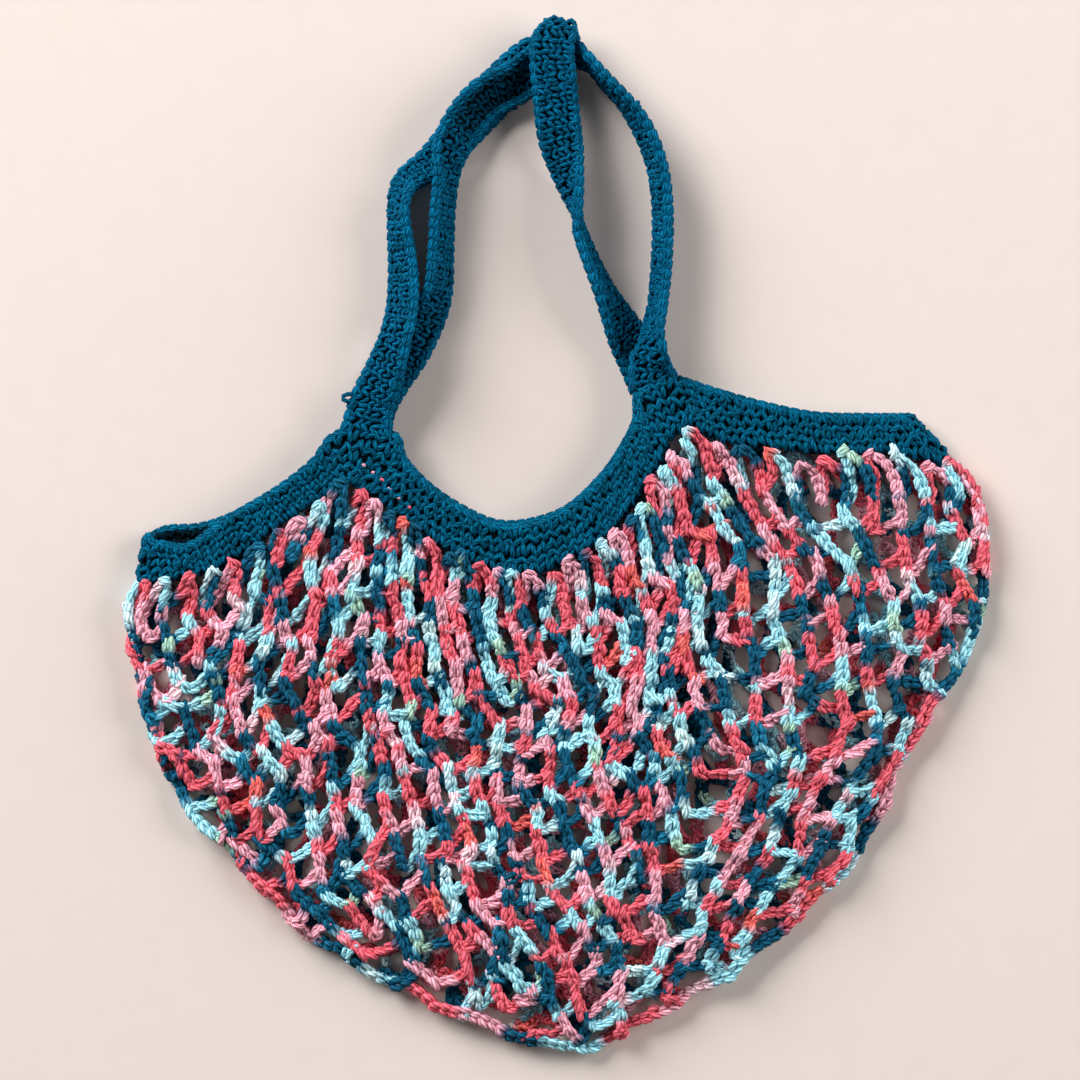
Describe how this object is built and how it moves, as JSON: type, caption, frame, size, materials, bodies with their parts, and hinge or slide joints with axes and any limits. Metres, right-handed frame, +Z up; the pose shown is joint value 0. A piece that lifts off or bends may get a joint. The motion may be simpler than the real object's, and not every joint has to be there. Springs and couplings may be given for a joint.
{
  "type": "mesh market bag",
  "caption": "Crocheted mesh market bag in variegated yarn with a teal band and two teal handles, lying flat on its back.",
  "frame": {"origin": "on the floor, under the middle of the lying bag's bounding box", "axes": "+Z up from the floor, +Y from the tip of the pouch to the handles, +X to the right of a person who looks down on the front"},
  "size_m": [0.476, 0.5698, 0.0313],
  "materials": {
    "net_yarn": "matte",
    "teal_yarn": "matte"
  },
  "bodies": {
    "root": {"mesh_front": "net_yarn", "mesh_back": "net_yarn", "band_front": "teal_yarn", "band_back": "teal_yarn", "handle_front": "teal_yarn", "handle_back": "teal_yarn"}
  },
  "joints": []
}
